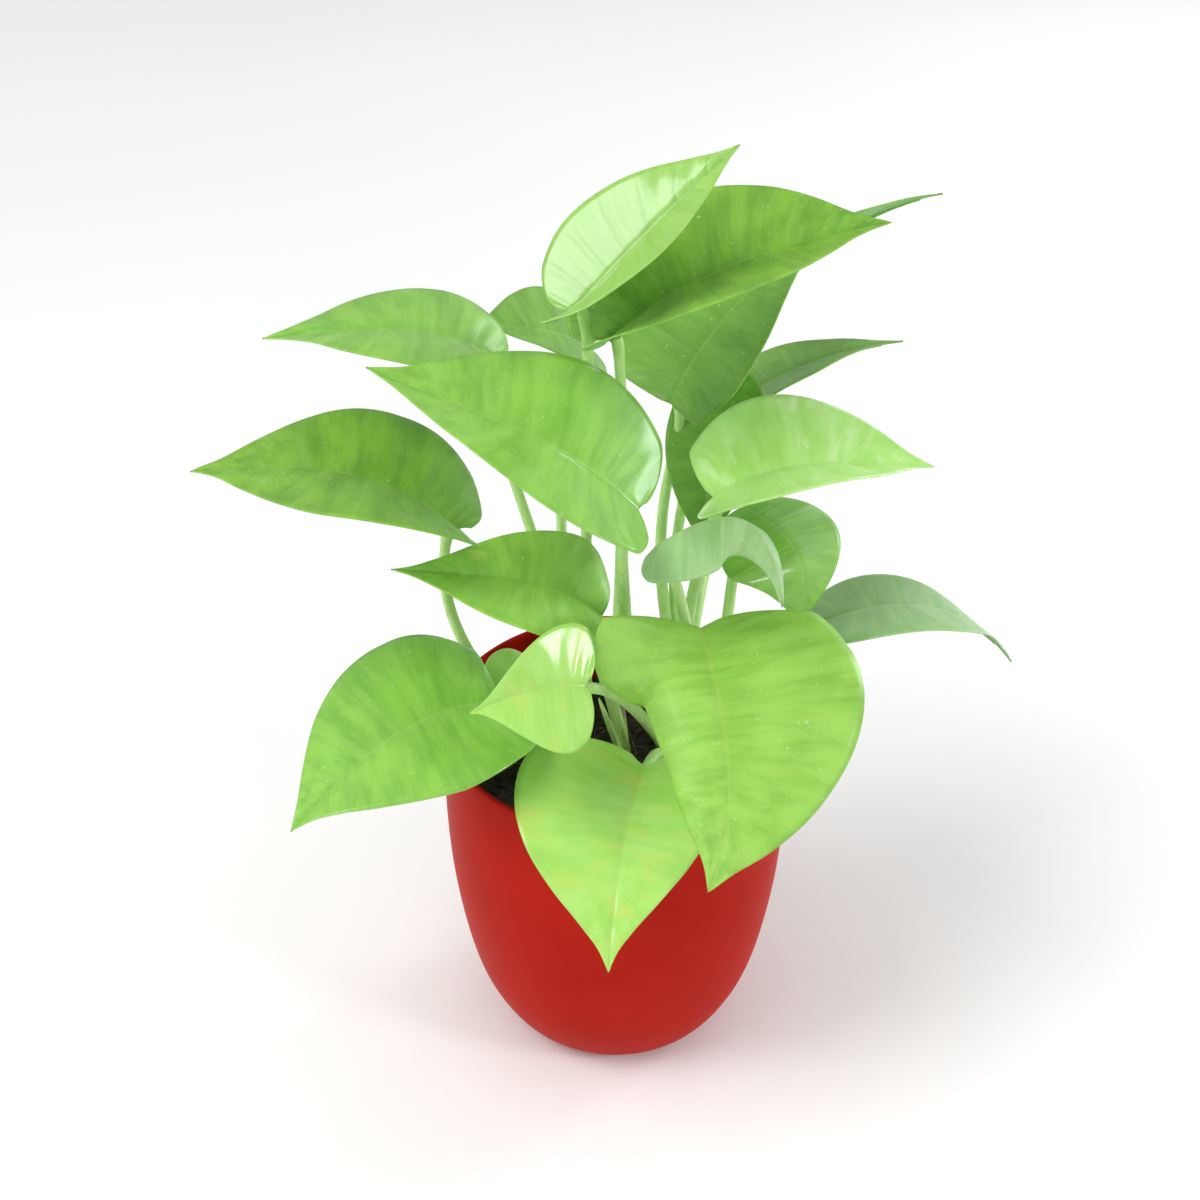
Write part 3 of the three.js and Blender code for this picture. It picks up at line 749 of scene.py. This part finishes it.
def make_stem_material(name, skin, shade, blush, roughness=0.42):
    material, tree, shader = new_material(name)
    masks = place_group(tree, stem_skin, {"Blush strength": BLUSH_STRENGTH})
    base = mix(tree, ramp(tree, masks["Streaks"], 0.3, 0.7), shade, skin)
    fill(tree, shader, {
        "Base Color": mix(tree, masks["Blush"], base, blush), "Roughness": roughness,
        "Normal": bumped(tree, masks["Streaks"], 0.3, 0.3 * MM),
    })
    let_light_in(tree, shader, STEM_DEPTH)
    return material


petiole_finish = make_stem_material(
    "Petiole", (0.54, 0.8, 0.3), (0.44, 0.7, 0.22), (0.62, 0.8, 0.4)
)
vine_finish = make_stem_material("Vine", (0.42, 0.6, 0.16), (0.3, 0.47, 0.1), (0.3, 0.2, 0.1))
bark_finish = make_stem_material(
    "Bark", (0.42, 0.3, 0.24), (0.3, 0.2, 0.15), (0.36, 0.36, 0.2), roughness=0.6
)
print("stem finishes:", petiole_finish.name, vine_finish.name, bark_finish.name)

# %% Where the vines stand
SOIL_HEIGHT = 108
STEM_ROOT_DEPTH = 20
SHOOTS = {
    "left": dict(line=[(-25, -6, 108), (-25, -5, 118), (-23, -4, 129)], radius=2.9),
    "back": dict(line=[(-12, 16, 108), (-12, 16, 122), (-11, 17, 137)], radius=2.9),
    "middle": dict(line=[(3, -11, 108), (2, -10, 128), (-1, -6, 153)], radius=2.6, bark_from=139,
                   spear=[(3, -11, 120), (-6, -28, 163)]),
    "front_right": dict(line=[(20, -12, 108), (21, -12, 118), (22, -11, 131)], radius=3.2),
    "rear_right": dict(line=[(24, 12, 108), (24, 12, 122), (23, 13, 139)], radius=2.9),
    "right": dict(line=[(33, 1, 108), (33, 1, 117), (31, 0, 129)], radius=2.7),
}


def stem_points(shoot, count):
    """The stem's middle line, from its end in the soil to its top."""
    line = shoot["line"]
    root = (*line[0][:2], SOIL_HEIGHT - STEM_ROOT_DEPTH)
    return along_points([root, *line], np.linspace(0, 1, count))


# %% Petioles
# The petiole meets the blade a little inside the notch, this far along the midrib and below it
PETIOLE_SEAT = 2.5
PETIOLE_DROP = 1.2
PETIOLE_POINTS = 34
# Its points stand a little closer toward the blade
PETIOLE_CROWDING = 0.9
# Angle at which it meets the midrib, and how far ahead it turns, as a share of the distance
MEETING_ANGLE = 60
REACH = 0.2
FOOT_RADIUS = 2.2
NECK_RADIUS = 1.75
# Distance over which it grows slim, and over which its foot hugs the stem
SLIM_LENGTH = 90
HUG_LENGTH = 7
# The swelling below the blade: radius, distance from the end and length. Then the end's rounding
SWELLING, SWELLING_PLACE, SWELLING_LENGTH = 0.3, 4, 4
ROUNDING, ROUNDING_LENGTH = 0.35, 1.2


def bell(distance, length):
    """1 at no distance, falling smoothly over a length."""
    return np.exp(-((distance / length) ** 2))


def make_petiole(leaf, shoot):
    """A petiole from its stem to the underside of its blade."""
    stem = stem_points(shoot, 400)
    foot = stem[np.argmin(np.abs(stem[:, 2] - leaf["stem"][1]))]
    midrib = midrib_of(leaf)
    seat = np.array(PETIOLE_SEAT / midrib["length"])
    along, _, normal = blade_directions(leaf, midrib, seat)
    end = bezier(midrib["controls"], seat) - normal * PETIOLE_DROP
    meet = math.radians(leaf.get("meet", MEETING_ANGLE))
    arrival = along * math.cos(meet) + normal * math.sin(meet)
    before_end = end - arrival * np.linalg.norm(end - foot) * leaf.get("reach", REACH)
    controls = (foot, np.array(leaf["bend"], float), before_end, end)
    places = bezier(controls, np.linspace(0, 1, PETIOLE_POINTS) ** PETIOLE_CROWDING)
    distance = np.concatenate([[0], np.cumsum(np.linalg.norm(np.diff(places, axis=0), axis=1))])
    left_over = distance[-1] - distance
    radii = FOOT_RADIUS + (NECK_RADIUS - FOOT_RADIUS) * np.minimum(1, distance / SLIM_LENGTH)
    radii = radii + (shoot["radius"] - FOOT_RADIUS) * bell(distance, HUG_LENGTH)
    radii = radii + SWELLING * bell(left_over - SWELLING_PLACE, SWELLING_LENGTH)
    radii = radii - ROUNDING * bell(left_over, ROUNDING_LENGTH)
    return bar(places, radii, petiole_finish)


# %% Stems with their rings
RING_HEIGHT = 0.35
RING_DROP = 2
RING_LENGTH = 1.6
# The rounded end: how far above the top it would close, over what length, and its least thickness
END_ABOVE, END_LENGTH, END_LEAST = 0.6, 2.5, 0.05
STEM_POINTS = 46
BARK_END = 1


def make_stem(shoot, leaves):
    """A short vine with a ring at each petiole, closed by a rounded end."""
    points = stem_points(shoot, STEM_POINTS)
    heights = points[:, 2]
    top = heights[-1]
    radii = np.full(len(points), shoot["radius"], float)
    for leaf in leaves:
        radii += RING_HEIGHT * bell(heights - leaf["stem"][1] + RING_DROP, RING_LENGTH)
    radii *= np.sqrt(np.clip((top + END_ABOVE - heights) / END_LENGTH, END_LEAST, 1))
    stem = bar(points, radii, vine_finish)
    if "bark_from" in shoot:
        stem.data.materials.append(bark_finish)
        for face in stem.data.polygons:
            face.material_index = int(shoot["bark_from"] * MM < face.center.z < (top - BARK_END) * MM)
    return stem


# %% The furled leaf
SPEAR_POINTS = 20
SPEAR_RADIUS = 1.0
SPEAR_END_RADIUS = 0.15


def make_spear(ends):
    """The new leaf, rolled up: a thin spear that is widest below its middle."""
    bulge = np.sin(np.pi * np.linspace(0.15, 1, SPEAR_POINTS)) ** 0.6
    return bar(np.linspace(*ends, SPEAR_POINTS), SPEAR_RADIUS * bulge + SPEAR_END_RADIUS, petiole_finish)


for name, shoot in SHOOTS.items():
    leaves = [leaf for leaf in LEAVES if leaf["stem"][0] == name]
    parts = [make_stem(shoot, leaves)] + [make_petiole(leaf, shoot) for leaf in leaves]
    if "spear" in shoot:
        parts.append(make_spear(shoot["spear"]))
    finish_piece(join(parts), f"vine_{name}", f"shoot_{name}")
print("vines:", len(SHOOTS))

# %% [markdown]
# ## The pot
#
# The pot is a turned shape: a foot, a belly that swells quickly, nearly straight sides and a thin
# rounded lip. A spin or a screw modifier would turn its profile in one step. Here it is made ring by
# ring, each an extruded and scaled copy of the last, because the soil's side is made the same way,
# and then subdivided so that the sides flow. Its finish is a red satin with a hardly visible grain.


# %% Pot finish
CLOUDS_PER_METRE = 18.0
SPECKS_PER_METRE = 1400.0


def make_pot_material():
    material, tree, shader = new_material("Red satin")
    place = object_place(tree)
    clouds = noise_at(tree, place, CLOUDS_PER_METRE, 3.0)
    specks = noise_at(tree, place, SPECKS_PER_METRE, 2.0)
    darker, lighter = (0.4, 0.012, 0.006), (0.46, 0.016, 0.008)
    fill(tree, shader, {
        "Base Color": mix(tree, ramp(tree, clouds, 0.3, 0.7), darker, lighter),
        "Roughness": ramp(tree, clouds, 0.3, 0.7, 0.38, 0.46),
        "Normal": bumped(tree, specks, 0.08, 0.3 * MM), "IOR": 1.12, "Specular IOR Level": 0.3,
    })
    return material


pot_finish = make_pot_material()
print("pot finish:", pot_finish.name)

# %% Pot
# Radius and height: up the outside from the foot, over the lip, and down the inside to the floor
POT_PROFILE = [
    (30, 0), (33, 0.4), (37, 2.2), (40.5, 5.2), (44, 9.5), (49.6, 20.5), (53.6, 33), (57.2, 53), (59.6, 73),
    (60.6, 93), (60.7, 113), (60.45, 128), (60.4, 131.4), (60.15, 132.6), (59.4, 133.1), (58.6, 132.7),
    (58.25, 131.4), (58.3, 127), (58.5, 113), (58.1, 85), (55, 53), (47.8, 23), (42.2, 11.5), (36, 5),
    (31, 3),
]
POT_SEGMENTS = 64


def extrude_rings(profile):
    """Extrudes the selected ring through radii and heights, and closes the last one."""
    radius, height = profile[0]
    for next_radius, next_height in profile[1:]:
        bpy.ops.mesh.extrude_edges_move(TRANSFORM_OT_translate={"value": (0, 0, (next_height - height) * MM)})
        share = next_radius / radius
        bpy.ops.transform.resize(value=(share, share, 1), center_override=(0, 0, next_height * MM))
        radius, height = next_radius, next_height
    bpy.ops.mesh.edge_face_add()


def close_up():
    """Turns all faces outward and leaves edit mode."""
    bpy.ops.mesh.select_all(action="SELECT")
    bpy.ops.mesh.normals_make_consistent(inside=False)
    bpy.ops.object.mode_set(mode="OBJECT")


def make_pot():
    bpy.ops.object.select_all(action="DESELECT")
    first_radius, first_height = POT_PROFILE[0]
    bpy.ops.mesh.primitive_circle_add(
        vertices=POT_SEGMENTS, radius=first_radius * MM, fill_type="TRIFAN",
        location=(0, 0, first_height * MM),
    )
    pot = bpy.context.active_object
    bpy.ops.object.mode_set(mode="EDIT")
    bpy.ops.mesh.select_mode(type="VERT")
    bpy.ops.mesh.select_all(action="DESELECT")
    bpy.ops.object.mode_set(mode="OBJECT")
    for vertex in pot.data.vertices:
        vertex.select = vertex.co.xy.length > 0.5 * first_radius * MM
    bpy.ops.object.mode_set(mode="EDIT")
    extrude_rings(POT_PROFILE)
    bpy.ops.mesh.poke()
    close_up()
    apply_modifier(pot, "SUBSURF", levels=2, render_levels=2)
    pot.data.materials.append(pot_finish)
    return pot


pot = make_pot()
finish_piece(pot, "red_pot", "pot")
print("pot faces:", len(pot.data.polygons), "size:", [round(c, 4) for c in pot.dimensions])

# %% [markdown]
# ## The soil
#
# Potting soil is peat with lumps and coconut fibres, and it shows only in the gaps between the
# leaves. A bump on a flat disc would look painted there. So a disc is raised and lowered by noise for
# the settled surface, lumps of one model are pressed into it, each with its own mesh and size, and
# fibres lie about on top.

# %% Soil finish
CRUMBS_PER_METRE = 420.0
SOIL_PATCHES_PER_METRE = 70.0
PATCH_STRENGTH = 0.6
SMOOTHER_BY = 0.15


def make_soil_grain():
    """Fine crumbs, and patches that are darker and rougher."""
    group, given = start_group("Soil grain", ("Full roughness",))
    place = object_place(group)
    crumbs = noise_at(group, place, CRUMBS_PER_METRE, 4.0)
    patches = noise_at(group, place, SOIL_PATCHES_PER_METRE, 2.0)
    dark = ramp(group, patches, 0.35, 0.7, 0.0, PATCH_STRENGTH)
    full = given["Full roughness"]
    rough = ramp(group, patches, 0.3, 0.7, calculate(group, "SUBTRACT", full, SMOOTHER_BY), full)
    return end_group(group, {"Crumbs": crumbs, "Dark patches": dark, "Roughness": rough})


soil_grain = make_soil_grain()


def make_soil_material(name, dark, light, roughness):
    material, tree, shader = new_material(name)
    grain = place_group(tree, soil_grain, {"Full roughness": roughness})
    base = mix(tree, ramp(tree, grain["Crumbs"], 0.38, 0.7), dark, light)
    fill(tree, shader, {
        "Base Color": mix(tree, grain["Dark patches"], base, dark), "Roughness": grain["Roughness"],
        "Normal": bumped(tree, grain["Crumbs"], 0.8, 0.8 * MM),
    })
    return material


soil_finish = make_soil_material("Peat", (0.008, 0.009, 0.004), (0.035, 0.032, 0.015), 0.95)
fibre_finish = make_soil_material("Coconut fibre", (0.07, 0.05, 0.022), (0.2, 0.15, 0.07), 0.8)
print("soil finishes:", soil_finish.name, fibre_finish.name)

# %% Soil surface
# Radius and height, from the edge of the surface down along the pot
SOIL_SIDE = [(57.9, 105.5), (57.6, 85), (54.6, 53), (47.4, 23), (41.8, 11.8), (35.6, 5.3), (30.7, 3.3)]
SOIL_RADIUS = SOIL_SIDE[0][0]
SOIL_GRID = 120
# Height and size of each noise that shapes the surface, and where it is sampled
SOIL_NOISES = [(2.2, 17, 3.1), (1.5, 5.5, 8.7), (0.7, 2.1, 1.3)]
SOIL_SETTLED = 1.4
SOIL_EDGE_DROP = 2.2


def soil_level(x, y):
    """Height of the settled soil at a place, all in millimetres."""
    level = SOIL_HEIGHT - SOIL_SETTLED - SOIL_EDGE_DROP * (math.hypot(x, y) / SOIL_RADIUS) ** 2
    for height, size, layer in SOIL_NOISES:
        level += height * noise.noise(Vector((x / size, y / size, layer)))
    return level


def make_soil_body():
    """A square grid drawn round to a disc, with the side of the soil below it."""
    bpy.ops.object.select_all(action="DESELECT")
    bpy.ops.mesh.primitive_grid_add(x_subdivisions=SOIL_GRID, y_subdivisions=SOIL_GRID, size=2)
    body = bpy.context.active_object
    for vertex in body.data.vertices:
        x, y = vertex.co.x, vertex.co.y
        disc_x, disc_y = x * math.sqrt(1 - y * y / 2), y * math.sqrt(1 - x * x / 2)
        at_edge = math.hypot(disc_x, disc_y) > 0.9999
        x, y = disc_x * SOIL_RADIUS, disc_y * SOIL_RADIUS
        vertex.co = Vector((x, y, SOIL_SIDE[0][1] if at_edge else soil_level(x, y))) * MM
    bpy.ops.object.mode_set(mode="EDIT")
    bpy.ops.mesh.select_mode(type="EDGE")
    bpy.ops.mesh.select_all(action="DESELECT")
    bpy.ops.mesh.select_non_manifold()
    extrude_rings(SOIL_SIDE)
    close_up()
    body.data.materials.append(soil_finish)
    return body


# %% Crumbs
CRUMB_COUNT = 420
CRUMB_SIZES = (0.8, 1.0, 1.2, 1.5, 2.0, 2.8)
CRUMB_SPREAD = (0.8, 1.2)
CRUMB_SQUASH = [(0.7, 1.3), (0.7, 1.3), (0.5, 0.9)]
# How far its bulges go, how close they stand, how deep it is sunk, and its step in the noise
CRUMB_BULGE, CRUMB_DETAIL, CRUMB_SUNK, CRUMB_STEP = 0.35, 1.3, 0.1, 3.7
chance = random.Random(7)


def scatter_place(reach=0.96):
    """A place on the soil, even over the disc."""
    angle, distance = chance.uniform(0, 2 * math.pi), SOIL_RADIUS * reach * math.sqrt(chance.random())
    return distance * math.cos(angle), distance * math.sin(angle)


def make_crumbs():
    """Lumps of soil of six sizes, each bulged and squashed in its own way."""
    bpy.ops.object.select_all(action="DESELECT")
    bpy.ops.mesh.primitive_ico_sphere_add(subdivisions=2, radius=MM)
    model = bpy.context.active_object
    crumbs = []
    for number in range(CRUMB_COUNT):
        crumb = model.copy()
        crumb.data = model.data.copy()
        bpy.context.collection.objects.link(crumb)
        x, y = scatter_place()
        size = chance.choice(CRUMB_SIZES) * chance.uniform(*CRUMB_SPREAD)
        squash = Vector([chance.uniform(*limits) for limits in CRUMB_SQUASH])
        middle = Vector((x, y, soil_level(x, y) - CRUMB_SUNK * size)) * MM
        layer = Vector((number * CRUMB_STEP, 0, 0))
        for vertex in crumb.data.vertices:
            bulge = 1 + CRUMB_BULGE * noise.noise(vertex.co / MM * CRUMB_DETAIL + layer)
            vertex.co = vertex.co * size * bulge * squash + middle
        crumbs.append(crumb)
    bpy.data.objects.remove(model)
    crumbs = join(crumbs)
    crumbs.data.materials.append(soil_finish)
    return crumbs


# %% Fibres
FIBRE_COUNT = 130
FIBRE_STEPS = 7
FIBRE_REACH = 0.86
FIBRE_TURN = 0.35
FIBRE_LENGTH = (5, 16)
FIBRE_RADIUS = (0.12, 0.32)
FIBRE_LOFT = (0.2, 1.6)
FIBRE_LIFT = 0.3
FIBRE_TAPER = 0.6
FIBRE_MARGIN = 1


def make_fibres():
    """Curved fibres that rise a little from the soil in their middle."""
    curve = start_curve()
    for _ in range(FIBRE_COUNT):
        x, y = scatter_place(FIBRE_REACH)
        heading = chance.uniform(0, 2 * math.pi)
        turn = chance.uniform(-FIBRE_TURN, FIBRE_TURN)
        step = chance.uniform(*FIBRE_LENGTH) / FIBRE_STEPS
        radius = chance.uniform(*FIBRE_RADIUS)
        loft = chance.uniform(*FIBRE_LOFT)
        points, radii = [], []
        for i in range(FIBRE_STEPS + 1):
            share = i / FIBRE_STEPS
            points.append((x, y, soil_level(x, y) + FIBRE_LIFT + loft * math.sin(math.pi * share)))
            radii.append(radius * (1 - FIBRE_TAPER * abs(share - 0.5)))
            heading += turn
            x, y = x + step * math.cos(heading), y + step * math.sin(heading)
            inside = min(1, (SOIL_RADIUS - FIBRE_MARGIN) / math.hypot(x, y))
            x, y = x * inside, y * inside
        add_spline(curve, points, radii)
    fibres = curve_to_mesh(curve, 1)
    fibres.data.materials.append(fibre_finish)
    return fibres


soil = join([make_soil_body(), make_crumbs(), make_fibres()])
finish_piece(soil, "potting_soil", "soil")
print("soil faces:", len(soil.data.polygons))

# %% [markdown]
# ## Studio and camera
#
# The plant stands on a pale floor in a pale surround. One broad lamp at the upper left gives the
# light and the soft shadow. It isn't mirrored in the leaves, because its reflection would wash out
# their green. The bright bands on the waxy blades come from four low windows, which are small, so
# each is mirrored in only a few leaves. The camera looks down on the pot at about 35 degrees.

# %% Floor and surround
FLOOR_SIZE = 8
SURROUND_STRENGTH = 0.58

bpy.ops.object.select_all(action="DESELECT")
bpy.ops.mesh.primitive_plane_add(size=FLOOR_SIZE)
floor = bpy.context.active_object
floor.name = "floor"
material, tree, shader = new_material("Pale floor")
clouds = ramp(tree, noise_at(tree, object_place(tree), 2.0), 0.3, 0.7)
greys = mix(tree, clouds, (0.93, 0.93, 0.93), (0.95, 0.95, 0.95))
fill(tree, shader, {"Base Color": greys, "Roughness": 0.9})
floor.data.materials.append(material)
world = bpy.data.worlds.new("Pale surround")
world.use_nodes = True
fill(world.node_tree, world.node_tree.nodes["Background"], {
    "Color": (1.0, 1.0, 1.0, 1.0), "Strength": SURROUND_STRENGTH,
})
bpy.context.scene.world = world
print("floor:", FLOOR_SIZE, "m, surround:", SURROUND_STRENGTH)

# %% Lamps
LAMP_TARGET = Vector((0, 0, 0.22))


def add_lamp(name, bearing, elevation, size, power, tint, distance=1.3):
    """A square soft lamp around the plant: bearing from the back toward the right, in degrees."""
    bearing, elevation = math.radians(bearing), math.radians(elevation)
    flat = math.cos(elevation)
    direction = Vector((flat * math.sin(bearing), flat * math.cos(bearing), math.sin(elevation)))
    bpy.ops.object.light_add(type="AREA", location=LAMP_TARGET + distance * direction)
    lamp = bpy.context.active_object
    lamp.name = name
    lamp.data.size = size
    lamp.data.energy = power
    lamp.data.color = tint
    lamp.rotation_euler = (-direction).to_track_quat("-Z", "Y").to_euler()
    return lamp


key = add_lamp("key", -128, 60, 1.3, 33, (1.0, 1.0, 0.97), distance=2.6)
key.visible_glossy = False
add_lamp("left window", -108, 12, 0.42, 4.2, (0.94, 0.97, 1.0))
add_lamp("back window", 58, 5, 0.4, 6, (0.88, 0.95, 1.0))
add_lamp("rear window", 28, 14, 0.25, 0.8, (0.9, 0.96, 1.0))
add_lamp("right window", 121, 24, 0.24, 4, (0.96, 0.98, 1.0))

# %% Camera
CAMERA_PLACE = (-0.0056, -0.5455, 0.5717)
CAMERA_PITCH = 35.5

bpy.ops.object.camera_add(location=CAMERA_PLACE, rotation=(math.radians(90 - CAMERA_PITCH), 0, 0))
camera = bpy.context.active_object
camera.data.lens = 60.2
camera.data.sensor_width = 36
bpy.context.scene.camera = camera
bpy.context.scene.view_settings.view_transform = "Standard"
print("camera:", [round(c, 3) for c in camera.location])
